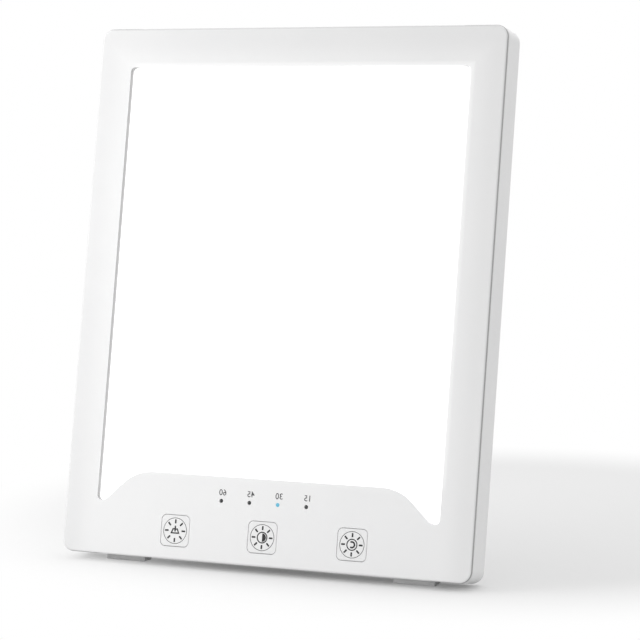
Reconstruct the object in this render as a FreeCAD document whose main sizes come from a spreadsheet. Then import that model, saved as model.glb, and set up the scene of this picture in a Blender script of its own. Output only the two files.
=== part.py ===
"""Light therapy lamp: a tablet-shaped LED panel that leans on a folding, swivelling stand.

The pieces are drawn in the panel's own frame: X across the panel, Y from the front face
towards the back, Z up from the bottom edge. The panel's placement then leans the whole set
back about the X axis and stands it on the table, with the origin at the bottom centre.
"""
import math
import os
import re

import FreeCAD
import Part
import Sketcher

from FreeCAD import Placement, Rotation, Vector

SIZES = {
    # outer form
    "panel_width": 203.0,
    "panel_height": 246.0,
    "panel_depth": 20.0,
    "lean_angle": 10.25,
    "corner_radius": 5.5,
    "rear_edge_radius": 4.5,
    "front_edge_radius": 0.9,
    "seam_width": 0.6,
    "seam_depth": 0.8,
    # walls of the two housing halves
    "flange_thickness": 1.2,
    "bezel_wall": 2.2,
    "shell_wall": 2.0,
    "back_wall": 2.0,
    "skirt_thickness": 1.4,
    "skirt_depth": 4.0,
    "skirt_gap": 0.15,
    # window in the bezel
    "border_side": 16.2,
    "border_top": 18.3,
    "border_bottom": 24.7,
    "hump_rise": 14.6,
    "hump_inset": 4.3,
    "hump_run": 15.5,
    "hump_radius": 22.0,
    "hump_foot_radius": 4.0,
    "window_corner": 2.2,
    "window_recess": 3.3,
    "window_lip": 1.6,
    # light engine
    "diffuser_thickness": 2.0,
    "diffuser_overlap": 4.0,
    "reflector_depth": 5.8,
    "reflector_wall": 1.5,
    "sheet_thickness": 0.4,
    "board_thickness": 1.6,
    "led_pitch": 20.0,
    "led_columns": 8,
    "led_rows": 9,
    "led_size": 3.0,
    "led_height": 0.8,
    "led_hole_gap": 0.3,
    # keys
    "key_size": 14.1,
    "key_corner": 2.2,
    "key_gap": 0.28,
    "key_pitch": 44.0,
    "key_shift": 0.6,
    "key_centre": 13.1,
    "key_edge_radius": 0.25,
    "key_flange": 1.0,
    "key_flange_thickness": 1.0,
    "key_travel": 0.5,
    "key_stem_radius": 2.5,
    "plunger_radius": 1.7,
    "plunger_clearance": 0.05,
    "plunger_reach": 1.0,
    "plunger_depth": 2.4,
    "plunger_room": 0.1,
    "switch_size": 6.0,
    "switch_height": 3.6,
    # indicators
    "pipe_radius": 0.9,
    "pipe_clearance": 0.05,
    "pipe_pitch": 14.1,
    "pipe_centre": 28.2,
    "pipe_collar_radius": 1.7,
    "pipe_collar_height": 1.0,
    "indicator_size": 2.0,
    "indicator_height": 0.8,
    # control board
    "control_board_depth": 11.2,
    "control_board_margin": 10.0,
    "control_board_low": 5.0,
    "control_board_high": 33.0,
    "post_radius": 2.8,
    "low_post_across": 22.0,
    "low_post_up": 9.0,
    "high_post_inset": 16.0,
    "high_post_up": 28.0,
    # fasteners
    "small_screw_radius": 1.0,
    "small_head_radius": 1.9,
    "small_head_height": 1.1,
    "board_screw_length": 7.0,
    "led_screw_length": 5.0,
    "retainer_screw_length": 4.0,
    "housing_screw_radius": 1.25,
    "housing_head_radius": 2.6,
    "housing_head_height": 1.8,
    "housing_screw_length": 10.0,
    "thread_clearance": 0.05,
    "hole_clearance": 0.2,
    "housing_boss_radius": 3.2,
    "housing_sleeve_radius": 3.8,
    "housing_joint_depth": 12.0,
    "counterbore_radius": 3.0,
    "counterbore_depth": 4.0,
    "housing_boss_inset": 8.2,
    "housing_pilot_depth": 7.5,
    "led_boss_radius": 3.0,
    "led_boss_across": 60.0,
    "led_boss_step": 70.0,
    # power inlet
    "jack_inset": 29.5,
    "jack_up": 12.5,
    "jack_width": 9.0,
    "jack_height": 11.0,
    "jack_length": 12.0,
    "jack_bore_radius": 2.8,
    "jack_bore_depth": 9.5,
    "jack_pin_radius": 1.0,
    "jack_pin_length": 8.5,
    "jack_opening_radius": 3.8,
    "cradle_wall": 1.4,
    "cradle_depth": 6.0,
    "cradle_gap": 0.1,
    # leads and connectors
    "lead_radius": 0.7,
    "lead_spacing": 3.0,
    "connector_width": 9.0,
    "connector_depth": 5.0,
    "connector_height": 2.6,
    "connector_inset": 1.0,
    "led_lead_inset": 8.0,
    "led_lead_length": 5.0,
    # parts on the back of the control board
    "chip_size": 9.0,
    "chip_height": 1.2,
    "coil_radius": 4.0,
    "coil_height": 3.6,
    "part_spacing": 16.0,
    # swivel
    "well_radius": 36.0,
    "well_depth": 2.4,
    "well_floor": 1.6,
    "disc_gap": 0.4,
    "disc_thickness": 2.2,
    "disc_edge_radius": 0.6,
    "running_gap": 0.1,
    "hub_radius": 12.0,
    "hub_clearance": 0.06,
    "washer_thickness": 0.3,
    "retainer_radius": 17.0,
    "retainer_thickness": 1.0,
    "retainer_screw_circle": 7.0,
    "washer_inner_gap": 0.3,
    "washer_outer_radius": 16.5,
    # stand
    "opening_angle": 21.0,
    "hinge_rise": 20.0,
    "hinge_offset": 3.4,
    "knuckle_width": 30.0,
    "knuckle_radius": 2.9,
    "ear_thickness": 4.0,
    "ear_radius": 3.1,
    "ear_gap": 0.3,
    "pin_radius": 1.25,
    "pin_clearance": 0.05,
    "leg_width": 54.0,
    "leg_thickness": 3.5,
    "leg_shoulder_drop": 6.0,
    "leg_shoulder_slope": 12.0,
    "leg_corner": 6.0,
    "leg_edge_radius": 0.8,
    "leg_panel_margin": 8.0,
    "leg_panel_low": 14.0,
    "leg_panel_height": 66.0,
    "leg_panel_corner": 4.0,
    "leg_panel_depth": 0.7,
    "heel_thickness": 1.8,
    "leg_foot_width": 40.0,
    "leg_foot_height": 4.0,
    # table feet
    "floor_clearance": 1.0,
    "foot_front": 8.0,
    "foot_depth": 7.0,
    "foot_length": 20.0,
    "foot_inset": 29.5,
    # vents
    "vent_count": 11,
    "vent_pitch": 6.0,
    "vent_width": 2.0,
    "vent_length": 22.0,
    "vent_drop": 36.0,
    "vent_corner": 0.8,
}

# places that follow from the sizes, each a formula in their names
PLACES = {
    "half_width": "panel_width / 2",
    "back_inside": "panel_depth - back_wall",
    "skirt_inset": "shell_wall + skirt_gap",
    "hump_foot": "half_width - border_side - hump_inset",
    "hump_shoulder": "hump_foot - hump_run",
    "plateau": "border_bottom + hump_rise",
    "window_top": "panel_height - border_top",
    "flank_angle": "atan(hump_rise / hump_run)",
    "diffuser_back": "window_recess + diffuser_thickness",
    "reflector_back": "diffuser_back + reflector_depth",
    "led_board_front": "reflector_back + sheet_thickness",
    "led_board_back": "led_board_front + board_thickness",
    "led_middle": "(plateau + window_top) / 2",
    "control_board_back": "control_board_depth + board_thickness",
    "board_half_width": "key_pitch + control_board_margin",
    "high_post_across": "board_half_width - high_post_inset",
    "led_lead_across": "board_half_width - led_lead_inset",
    "jack_across": "half_width - jack_inset",
    "foot_across": "half_width - foot_inset",
    "key_back": "bezel_wall + key_flange_thickness",
    "switch_front": "control_board_depth - switch_height",
    "plunger_front": "switch_front - plunger_reach",
    "housing_post_side": "half_width - housing_boss_inset",
    "counterbore_floor": "panel_depth - counterbore_depth",
    "hub_height": "panel_width / 2",
    "well_face": "panel_depth - well_depth",
    "well_inside": "well_face - well_floor",
    "disc_front": "well_face + running_gap",
    "disc_back": "disc_front + disc_thickness",
    "hub_end": "well_inside - running_gap - washer_thickness",
    "retainer_front": "hub_end - retainer_thickness",
    "hinge_depth": "panel_depth + hinge_offset",
    "hinge_height": "hub_height + hinge_rise",
    "leg_tilt": "opening_angle - lean_angle",
    "panel_lift": "floor_clearance + rear_edge_radius * (1 - cos(lean_angle))"
                  " + (panel_depth - rear_edge_radius) * sin(lean_angle)",
    "hinge_above_floor": "hinge_height * cos(lean_angle) - hinge_depth * sin(lean_angle) + panel_lift",
    "leg_length": "hinge_above_floor / cos(leg_tilt)",
    "leg_inner": "knuckle_radius",
    "leg_outer": "leg_thickness - knuckle_radius",
    "foremost": "front_edge_radius * (cos(lean_angle) + sin(lean_angle) - 1)",
    "hinge_behind": "hinge_depth * cos(lean_angle) + hinge_height * sin(lean_angle)",
    "rearmost": "hinge_behind + leg_outer * cos(leg_tilt)"
                " + (hinge_above_floor + leg_outer * sin(leg_tilt)) * tan(leg_tilt)",
    "panel_shift": "-(foremost + rearmost) / 2",
    "heel_length": "(hinge_offset - running_gap"
                   " - (heel_thickness - leg_outer) * cos(opening_angle)) / sin(opening_angle)",
}

KEYS = {"power": -1, "brightness": 0, "timer": 1}
PIPES = {"60": -1.5, "45": -0.5, "30": 0.5, "15": 1.5}

doc = FreeCAD.newDocument("LightTherapyLamp")
sheet = doc.addObject("Spreadsheet::Sheet", "Sizes")
sub_parts = []


def fill_sheet():
    """One row for each size: its name beside its value."""
    for row, (name, number) in enumerate(SIZES.items(), start=1):
        sheet.set(f"A{row}", name)
        sheet.set(f"B{row}", str(number))
        sheet.setAlias(f"B{row}", name)
    doc.recompute()


def formula(text):
    """The text with every place written out and every size pointing at the sheet."""
    def written_out(match):
        word = match.group()
        if word in PLACES:
            return f"({formula(PLACES[word])})"
        return f"Sizes.{word}" if word in SIZES else word
    return re.sub(r"[a-z_]+", written_out, str(text))


def value(text):
    """The number that a formula gives now."""
    result = sheet.evalExpression(formula(text))
    return float(getattr(result, "Value", result))


def bind(item, prop, text):
    """Ties one property of an object to a formula in the sheet's sizes."""
    item.setExpression(prop, formula(text))


# Sketches and features

def new_body(name):
    """An empty body that will be written under this name."""
    body = doc.addObject("PartDesign::Body", name)
    body.Label = name
    return body


def new_sketch(body, role, offset):
    """A sketch on one of the body's own planes, moved along that plane's normal."""
    sketch = body.newObject("Sketcher::SketchObject", f"{body.Name}_sketch")
    plane = [item for item in body.Origin.OriginFeatures if item.Role == role][0]
    sketch.AttachmentSupport = [(plane, "")]
    sketch.MapMode = "FlatFace"
    bind(sketch, "AttachmentOffset.Base.z", offset)
    return sketch


def sketch_at(body, depth="0"):
    """A sketch parallel to the panel's front, this far behind it."""
    return new_sketch(body, "XZ_Plane", f"-({depth})")


def side_sketch(body, across):
    """A sketch square to the panel's width, this far across; it is drawn in depth and height."""
    return new_sketch(body, "YZ_Plane", across)


def fix_size(sketch, text, kind, *places):
    """Adds one dimension to the sketch and ties it to a formula."""
    number = sketch.addConstraint(Sketcher.Constraint(kind, *places, value(text)))
    bind(sketch, f"Constraints[{number}]", text)


def fix_point(sketch, geometry, end, across, up):
    """Holds one point of the sketch at a distance from its origin."""
    fix_size(sketch, across, "DistanceX", -1, 1, geometry, end)
    fix_size(sketch, up, "DistanceY", -1, 1, geometry, end)


def add_circle(sketch, across, up, radius):
    """A circle held by its centre and radius."""
    centre = Vector(value(across), value(up), 0)
    circle = sketch.addGeometry(Part.Circle(centre, Vector(0, 0, 1), value(radius)), False)
    fix_point(sketch, circle, 3, across, up)
    fix_size(sketch, radius, "Radius", circle)


def add_polygon(sketch, corners):
    """A closed outline of straight sides, held at each corner."""
    points = [Vector(value(across), value(up), 0) for across, up in corners]
    sides = [sketch.addGeometry(Part.LineSegment(start, end), False)
             for start, end in zip(points, points[1:] + points[:1])]
    for side, following in zip(sides, sides[1:] + sides[:1]):
        sketch.addConstraint(Sketcher.Constraint("Coincident", side, 2, following, 1))
    for side, (across, up) in zip(sides, corners):
        fix_point(sketch, side, 1, across, up)


def add_rectangle(sketch, left, right, low, high):
    """A rectangle between two places across and two up."""
    add_polygon(sketch, [(left, low), (right, low), (right, high), (left, high)])


def add_rounded_rectangle(sketch, left, right, low, high, radius):
    """A rectangle with round corners: four sides, four tangent arcs and their five sizes."""
    x0, x1, z0, z1, r = (value(text) for text in (left, right, low, high, radius))
    ends = [((x0 + r, z0), (x1 - r, z0)), ((x1, z0 + r), (x1, z1 - r)),
            ((x1 - r, z1), (x0 + r, z1)), ((x0, z1 - r), (x0, z0 + r))]
    centres = [(x1 - r, z0 + r), (x1 - r, z1 - r), (x0 + r, z1 - r), (x0 + r, z0 + r)]
    sides = [sketch.addGeometry(Part.LineSegment(Vector(*start, 0), Vector(*end, 0)), False)
             for start, end in ends]
    arcs = []
    for quarter, centre in enumerate(centres, start=-1):
        circle = Part.Circle(Vector(*centre, 0), Vector(0, 0, 1), r)
        turn = math.pi / 2
        arcs.append(sketch.addGeometry(
            Part.ArcOfCircle(circle, quarter * turn, (quarter + 1) * turn), False))
    for side, arc, following in zip(sides, arcs, sides[1:] + sides[:1]):
        sketch.addConstraint(Sketcher.Constraint("Tangent", side, 2, arc, 1))
        sketch.addConstraint(Sketcher.Constraint("Tangent", arc, 2, following, 1))
    for direction, pair in (("Horizontal", sides[0::2]), ("Vertical", sides[1::2])):
        for side in pair:
            sketch.addConstraint(Sketcher.Constraint(direction, side))
    for arc in arcs[1:]:
        sketch.addConstraint(Sketcher.Constraint("Equal", arcs[0], arc))
    fix_size(sketch, radius, "Radius", arcs[0])
    fix_size(sketch, low, "DistanceY", -1, 1, sides[0], 1)
    fix_size(sketch, right, "DistanceX", -1, 1, sides[1], 1)
    fix_size(sketch, high, "DistanceY", -1, 1, sides[2], 1)
    fix_size(sketch, left, "DistanceX", -1, 1, sides[3], 1)


def pad(body, sketch, length, towards_back=True):
    """Adds the sketch's area to the body over this depth."""
    feature = body.newObject("PartDesign::Pad", f"{body.Name}_pad")
    feature.Profile = sketch
    feature.Reversed = towards_back
    bind(feature, "Length", length)
    return feature


def cut(body, sketch, length, towards_back=True):
    """Removes the sketch's area from the body over this depth, and checks that it did."""
    doc.recompute()
    before = body.Shape.Volume
    feature = body.newObject("PartDesign::Pocket", f"{body.Name}_pocket")
    feature.Profile = sketch
    feature.Reversed = not towards_back
    bind(feature, "Length", length)
    doc.recompute()
    if body.Shape.Volume >= before:
        raise ValueError(f"{feature.Name} cuts nothing")
    return feature


def round_edges(body, radius, chosen):
    """Fillets the edges of the body that the test chooses."""
    doc.recompute()
    base = body.Tip
    names = [f"Edge{number}" for number, edge in enumerate(base.Shape.Edges, start=1)
             if chosen(edge)]
    if not names:
        raise ValueError(f"no edge to round on {body.Label}")
    feature = body.newObject("PartDesign::Fillet", f"{body.Name}_fillet")
    feature.Base = (base, names)
    bind(feature, "Radius", radius)
    doc.recompute()
    return feature


def near(first, second, tolerance=1e-4):
    """Whether two lengths are the same."""
    return abs(first - second) < tolerance


def runs_deep(edge):
    """Whether an edge runs straight from front to back."""
    ends = edge.Vertexes
    return len(ends) == 2 and near(ends[0].X, ends[1].X) and near(ends[0].Z, ends[1].Z)


def deep_edge_at(places):
    """A test for edges from front to back at one of these places across and up."""
    spots = [(value(across), value(up)) for across, up in places]

    def chosen(edge):
        return runs_deep(edge) and any(
            near(edge.Vertexes[0].X, across) and near(edge.Vertexes[0].Z, up)
            for across, up in spots)
    return chosen


def flat_edge_at(depth, below="panel_height"):
    """A test for the edges that lie flat at one depth, with their middle below this height."""
    level = value(depth)
    limit = value(below)

    def chosen(edge):
        box = edge.BoundBox
        return near(box.YMin, level) and near(box.YMax, level) and (box.ZMin + box.ZMax) / 2 < limit
    return chosen


def rim_edge_at(depth, margin):
    """A test for the edges of the outline at one depth, no further than this from the outside."""
    level = value(depth)
    limit = value(margin)
    width = value("half_width")
    height = value("panel_height")

    def chosen(edge):
        box = edge.BoundBox
        if not (near(box.YMin, level) and near(box.YMax, level)):
            return False
        point = edge.valueAt((edge.FirstParameter + edge.LastParameter) / 2)
        inward = min(width - abs(point.x), point.z, height - point.z)
        return inward < limit
    return chosen


def panel_outline(sketch, inset="0"):
    """The panel's rounded rectangle, moved inwards."""
    across = f"half_width - ({inset})"
    add_rounded_rectangle(sketch, f"-({across})", across, f"{inset}", f"panel_height - ({inset})",
                          f"corner_radius - ({inset})")


def window_corners(growth="0"):
    """The corners of the window with its humped lower side, moved outwards."""
    side = f"half_width - border_side + ({growth})"
    narrowing = f"({growth}) * tan(flank_angle / 2)"
    foot = f"hump_foot - {narrowing}"
    shoulder = f"hump_shoulder - {narrowing}"
    low = f"border_bottom - ({growth})"
    high = f"window_top + ({growth})"
    crest = f"plateau - ({growth})"
    right = [(shoulder, crest), (foot, low), (side, low), (side, high)]
    left = [(f"-({across})", up) for across, up in reversed(right)]
    return right + left


def key_outline(sketch, across, growth):
    """A key's rounded square round a place across, moved outwards."""
    reach = f"(key_size / 2 + {growth})"
    add_rounded_rectangle(sketch, f"{across} - {reach}", f"{across} + {reach}",
                          f"key_centre - {reach}", f"key_centre + {reach}",
                          f"key_corner + {growth}")


# Solids from primitives

def box(name, left, front, low, width, depth, height):
    """A block with its lower left front corner at a place."""
    item = doc.addObject("Part::Box", name)
    for prop, text in (("Length", width), ("Width", depth), ("Height", height),
                       ("Placement.Base.x", left), ("Placement.Base.y", front),
                       ("Placement.Base.z", low)):
        bind(item, prop, text)
    return item


def rod(name, across, front, up, radius, length):
    """A cylinder that runs from front to back."""
    item = doc.addObject("Part::Cylinder", name)
    item.Placement = Placement(Vector(0, 0, 0), Rotation(Vector(-1, 0, 0), 90))
    for prop, text in (("Radius", radius), ("Height", length), ("Placement.Base.x", across),
                       ("Placement.Base.y", front), ("Placement.Base.z", up)):
        bind(item, prop, text)
    return item


def bar(name, left, depth, up, radius, length, direction):
    """A cylinder across the panel, or up it."""
    item = doc.addObject("Part::Cylinder", name)
    if direction == "across":
        item.Placement = Placement(Vector(0, 0, 0), Rotation(Vector(0, 1, 0), 90))
    for prop, text in (("Radius", radius), ("Height", length), ("Placement.Base.x", left),
                       ("Placement.Base.y", depth), ("Placement.Base.z", up)):
        bind(item, prop, text)
    return item


def join(name, pieces):
    """One solid from pieces that touch."""
    item = doc.addObject("Part::MultiFuse", name)
    item.Shapes = pieces
    return item


def subtract(name, base, tool):
    """The base without the tool."""
    item = doc.addObject("Part::Cut", name)
    item.Base = base
    item.Tool = tool
    return item


def group(name, pieces):
    """Separate solids under one name."""
    item = doc.addObject("Part::Compound", name)
    item.Links = pieces
    return item


def screw(name, across, up, seat, radius, length, head_radius, head_height, towards_back):
    """A pan head screw: its head's underside sits at a depth and the shank runs on from there."""
    if towards_back:
        head = rod(f"{name}_head", across, f"{seat} - {head_height}", up, head_radius, head_height)
        shank = rod(f"{name}_shank", across, seat, up, radius, length)
    else:
        head = rod(f"{name}_head", across, seat, up, head_radius, head_height)
        shank = rod(f"{name}_shank", across, f"{seat} - {length}", up, radius, length)
    return join(name, [head, shank])


def lean_with_panel(item):
    """Gives a sub-part the panel's lean and stance, and lists it for writing."""
    item.Placement = Placement(Vector(0, 0, 0), Rotation(Vector(-1, 0, 0), value("lean_angle")))
    bind(item, "Placement.Rotation.Angle", "lean_angle")
    bind(item, "Placement.Base.y", "panel_shift")
    bind(item, "Placement.Base.z", "panel_lift")
    sub_parts.append(item)


def stand_with_leg(item):
    """Gives a sub-part the open leg's place and tilt, and lists it for writing."""
    item.Placement = Placement(Vector(0, 0, 0), Rotation(Vector(1, 0, 0), value("leg_tilt")))
    bind(item, "Placement.Rotation.Angle", "leg_tilt")
    bind(item, "Placement.Base.y", "hinge_behind + panel_shift")
    bind(item, "Placement.Base.z", "hinge_above_floor")
    sub_parts.append(item)


# Places that repeat

def housing_screw_places():
    """Three screws down each side of the housing, in the band outside the light engine."""
    levels = ("housing_post_low", "housing_post_middle", "housing_post_high")
    return [(f"{side}housing_post_side", level) for side in ("-", "") for level in levels]


PLACES.update({
    "housing_post_low": "housing_boss_inset + shell_wall",
    "housing_post_middle": "panel_height / 2",
    "housing_post_high": "panel_height - housing_boss_inset",
})


def control_post_places():
    """Four posts that carry the control board between the keys and the indicators."""
    return [("-low_post_across", "low_post_up"), ("low_post_across", "low_post_up"),
            ("-high_post_across", "high_post_up"), ("high_post_across", "high_post_up")]


def led_boss_places():
    """Six bosses behind the LED board, between its rows and columns."""
    return [(f"{side}led_boss_across", f"led_middle + {step} * led_boss_step")
            for side in ("-", "") for step in (-1, 0, 1)]


def retainer_screw_places():
    """Three screws on a circle round the hub."""
    return [(f"retainer_screw_circle * cos({angle})", f"hub_height + retainer_screw_circle * sin({angle})")
            for angle in (90, 210, 330)]


def led_places():
    """The places of the LED chips across and up the board."""
    columns = int(value("led_columns"))
    rows = int(value("led_rows"))
    pitch = value("led_pitch")
    middle = value("led_middle")
    for row in range(rows):
        for column in range(columns):
            yield (column - (columns - 1) / 2) * pitch, middle + (row - (rows - 1) / 2) * pitch


def block_grid(name, front, depth, margin):
    """Blocks at the places of the LED chips, each larger than a chip by the margin."""
    item = doc.addObject("Part::Feature", name)
    size = value("led_size") + 2 * margin
    item.Shape = Part.makeCompound([
        Part.makeBox(size, depth, size, Vector(across - size / 2, front, up - size / 2))
        for across, up in led_places()])
    return item


# Housing

def make_front_bezel():
    """The flat front frame with its window, key holes, skirt, screw bosses and board posts."""
    body = new_body("front_bezel")
    outline = sketch_at(body)
    panel_outline(outline)
    pad(body, outline, "flange_thickness")
    inner = sketch_at(body)
    panel_outline(inner, "skirt_inset")
    pad(body, inner, "bezel_wall + skirt_depth")
    hollow = sketch_at(body, "bezel_wall")
    panel_outline(hollow, "skirt_inset + skirt_thickness")
    cut(body, hollow, "skirt_depth")
    lip = sketch_at(body)
    add_polygon(lip, window_corners("window_lip"))
    pad(body, lip, "window_recess")
    bosses = sketch_at(body)
    for across, up in housing_screw_places():
        add_circle(bosses, across, up, "housing_boss_radius")
    pad(body, bosses, "housing_joint_depth")
    posts = sketch_at(body)
    for across, up in control_post_places():
        add_circle(posts, across, up, "post_radius")
    pad(body, posts, "control_board_depth")
    window = sketch_at(body)
    add_polygon(window, window_corners())
    cut(body, window, "window_recess")
    places = window_corners()
    round_edges(body, "hump_radius", deep_edge_at([places[0], places[7]]))
    round_edges(body, "hump_foot_radius", deep_edge_at([places[1], places[6]]))
    round_edges(body, "window_corner", deep_edge_at(places[2:6]))
    key_holes = sketch_at(body)
    for step in KEYS.values():
        key_outline(key_holes, f"{step} * key_pitch + key_shift", "key_gap")
    cut(body, key_holes, "bezel_wall")
    pipe_holes = sketch_at(body)
    for step in PIPES.values():
        add_circle(pipe_holes, f"{step} * pipe_pitch", "pipe_centre", "pipe_radius + pipe_clearance")
    cut(body, pipe_holes, "bezel_wall")
    housing_pilots = sketch_at(body, "housing_joint_depth")
    for across, up in housing_screw_places():
        add_circle(housing_pilots, across, up, "housing_screw_radius + thread_clearance")
    cut(body, housing_pilots, "housing_pilot_depth", towards_back=False)
    board_pilots = sketch_at(body, "control_board_depth")
    for across, up in control_post_places():
        add_circle(board_pilots, across, up, "small_screw_radius + thread_clearance")
    cut(body, board_pilots, "board_screw_length", towards_back=False)
    round_edges(body, "front_edge_radius", rim_edge_at("0", "corner_radius / 2"))
    lean_with_panel(body)


def make_rear_shell():
    """The deep rear half: side walls, back, swivel well, bosses, inlet cradle and vents."""
    body = new_body("rear_shell")
    rim = sketch_at(body, "flange_thickness")
    panel_outline(rim, "seam_depth")
    pad(body, rim, "seam_width")
    outline = sketch_at(body, "flange_thickness + seam_width")
    panel_outline(outline)
    pad(body, outline, "panel_depth - flange_thickness - seam_width")
    round_edges(body, "rear_edge_radius", rim_edge_at("panel_depth", "corner_radius / 2"))
    hollow = sketch_at(body, "flange_thickness")
    panel_outline(hollow, "shell_wall")
    cut(body, hollow, "back_inside - flange_thickness")
    round_edges(body, "rear_edge_radius - shell_wall", rim_edge_at("back_inside", "corner_radius"))
    pan = sketch_at(body, "well_inside")
    add_circle(pan, "0", "hub_height", "well_radius + shell_wall")
    pad(body, pan, "back_inside - well_inside")
    led_bosses = sketch_at(body, "led_board_back")
    for across, up in led_boss_places():
        add_circle(led_bosses, across, up, "led_boss_radius")
    pad(body, led_bosses, "back_inside - led_board_back")
    sleeves = sketch_at(body, "housing_joint_depth")
    for across, up in housing_screw_places():
        add_circle(sleeves, across, up, "housing_sleeve_radius")
    pad(body, sleeves, "back_inside - housing_joint_depth")
    cradle = sketch_at(body, "back_inside - cradle_depth")
    for wall in ("cradle_gap + cradle_wall", "cradle_gap"):
        half_width = f"(jack_width / 2 + {wall})"
        half_height = f"(jack_height / 2 + {wall})"
        add_rectangle(cradle, f"jack_across - {half_width}", f"jack_across + {half_width}",
                      f"jack_up - {half_height}", f"jack_up + {half_height}")
    pad(body, cradle, "cradle_depth")
    well = sketch_at(body, "panel_depth")
    add_circle(well, "0", "hub_height", "well_radius")
    cut(body, well, "well_depth", towards_back=False)
    hub_hole = sketch_at(body, "well_face")
    add_circle(hub_hole, "0", "hub_height", "hub_radius + hub_clearance")
    cut(body, hub_hole, "well_floor", towards_back=False)
    led_pilots = sketch_at(body, "led_board_back")
    for across, up in led_boss_places():
        add_circle(led_pilots, across, up, "small_screw_radius + thread_clearance")
    cut(body, led_pilots, "led_screw_length - board_thickness")
    counterbores = sketch_at(body, "panel_depth")
    for across, up in housing_screw_places():
        add_circle(counterbores, across, up, "counterbore_radius")
    cut(body, counterbores, "counterbore_depth", towards_back=False)
    clearance_holes = sketch_at(body, "counterbore_floor")
    for across, up in housing_screw_places():
        add_circle(clearance_holes, across, up, "housing_screw_radius + hole_clearance")
    cut(body, clearance_holes, "counterbore_floor - housing_joint_depth", towards_back=False)
    plug_hole = sketch_at(body, "panel_depth")
    add_circle(plug_hole, "jack_across", "jack_up", "jack_opening_radius")
    cut(body, plug_hole, "back_wall", towards_back=False)
    count = int(value("vent_count"))
    vents = sketch_at(body, "panel_depth")
    for number in range(count):
        middle = f"({number - (count - 1) / 2} * vent_pitch)"
        add_rounded_rectangle(vents, f"{middle} - vent_width / 2", f"{middle} + vent_width / 2",
                              "panel_height - vent_drop - vent_length / 2",
                              "panel_height - vent_drop + vent_length / 2", "vent_corner")
    cut(body, vents, "back_wall", towards_back=False)
    lean_with_panel(body)


# Light engine

def make_diffuser_panel():
    """The milky sheet behind the window, resting on the window's lip."""
    body = new_body("diffuser_panel")
    outline = sketch_at(body, "window_recess")
    add_polygon(outline, window_corners("diffuser_overlap"))
    pad(body, outline, "diffuser_thickness")
    lean_with_panel(body)


def make_reflector_frame():
    """The white wall round the light box, between the diffuser and the reflector sheet."""
    body = new_body("reflector_frame")
    outline = sketch_at(body, "diffuser_back")
    add_polygon(outline, window_corners("diffuser_overlap"))
    add_polygon(outline, window_corners("diffuser_overlap - reflector_wall"))
    pad(body, outline, "reflector_depth")
    lean_with_panel(body)


def led_screw_holes(body, depth, radius, length):
    """Holes for the LED board's screws."""
    holes = sketch_at(body, depth)
    for across, up in led_boss_places():
        add_circle(holes, across, up, radius)
    cut(body, holes, length)


def make_led_board():
    """The circuit board that carries the LED chips, cut to the window's outline."""
    body = new_body("led_board")
    outline = sketch_at(body, "led_board_front")
    add_polygon(outline, window_corners("diffuser_overlap"))
    pad(body, outline, "board_thickness")
    led_screw_holes(body, "led_board_front", "small_screw_radius + hole_clearance", "board_thickness")
    lean_with_panel(body)


def make_reflector_sheet():
    """The white film on the LED board, with a window for each chip and screw head."""
    body = new_body("reflector_film")
    outline = sketch_at(body, "reflector_back")
    add_polygon(outline, window_corners("diffuser_overlap"))
    pad(body, outline, "sheet_thickness")
    led_screw_holes(body, "reflector_back", "small_head_radius + hole_clearance", "sheet_thickness")
    holes = block_grid("chip_windows", value("reflector_back"), value("sheet_thickness"),
                       value("led_hole_gap"))
    sheet_item = subtract("reflector_sheet", body, holes)
    lean_with_panel(sheet_item)


def make_led_chips():
    """The rows of LED chips on the board."""
    chips = block_grid("led_chips", value("led_board_front - led_height"), value("led_height"), 0)
    lean_with_panel(chips)


def make_led_board_screws():
    """The screws that hold board and film on the rear shell's bosses."""
    screws = [screw(f"led_screw_{number}", across, up, "led_board_front", "small_screw_radius",
                    "led_screw_length", "small_head_radius", "small_head_height", True)
              for number, (across, up) in enumerate(led_boss_places(), start=1)]
    lean_with_panel(group("led_board_screws", screws))


# Keys and control board

def make_key_cap(name, across):
    """A rounded square key with a retaining flange behind the bezel and a stem."""
    body = new_body(f"key_cap_{name}")
    for growth, depth, length in (("0", "0", "bezel_wall"),
                                  ("key_flange", "bezel_wall", "key_flange_thickness")):
        outline = sketch_at(body, depth)
        key_outline(outline, across, growth)
        pad(body, outline, length)
    stem = sketch_at(body, "key_back")
    add_circle(stem, across, "key_centre", "key_stem_radius")
    pad(body, stem, "plunger_front - key_back")
    round_edges(body, "key_edge_radius", flat_edge_at("0"))
    lean_with_panel(body)


def make_key(name, step):
    """One push key: its cap, the plunger that it presses and the switch on the control board."""
    across = f"{step} * key_pitch + key_shift"
    make_key_cap(name, across)
    plunger = rod(f"plunger_rod_{name}", across, "plunger_front", "key_centre", "plunger_radius",
                  "plunger_reach + plunger_depth")
    lean_with_panel(group(f"key_plunger_{name}", [plunger]))
    case = box(f"switch_case_{name}", f"{across} - switch_size / 2", "switch_front",
               "key_centre - switch_size / 2", "switch_size", "switch_height", "switch_size")
    bore = rod(f"switch_bore_{name}", across, "switch_front", "key_centre",
               "plunger_radius + plunger_clearance", "plunger_depth + key_travel + plunger_room")
    lean_with_panel(subtract(f"key_switch_{name}", case, bore))


def make_light_pipe(minutes, step):
    """One clear pipe from the control board's indicator to the bezel's face."""
    across = f"{step} * pipe_pitch"
    shaft = rod(f"pipe_shaft_{minutes}", across, "0", "pipe_centre", "pipe_radius",
                "control_board_depth - indicator_height")
    collar = rod(f"pipe_collar_{minutes}", across, "bezel_wall", "pipe_centre",
                 "pipe_collar_radius", "pipe_collar_height")
    lean_with_panel(join(f"light_pipe_{minutes}", [shaft, collar]))


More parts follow.
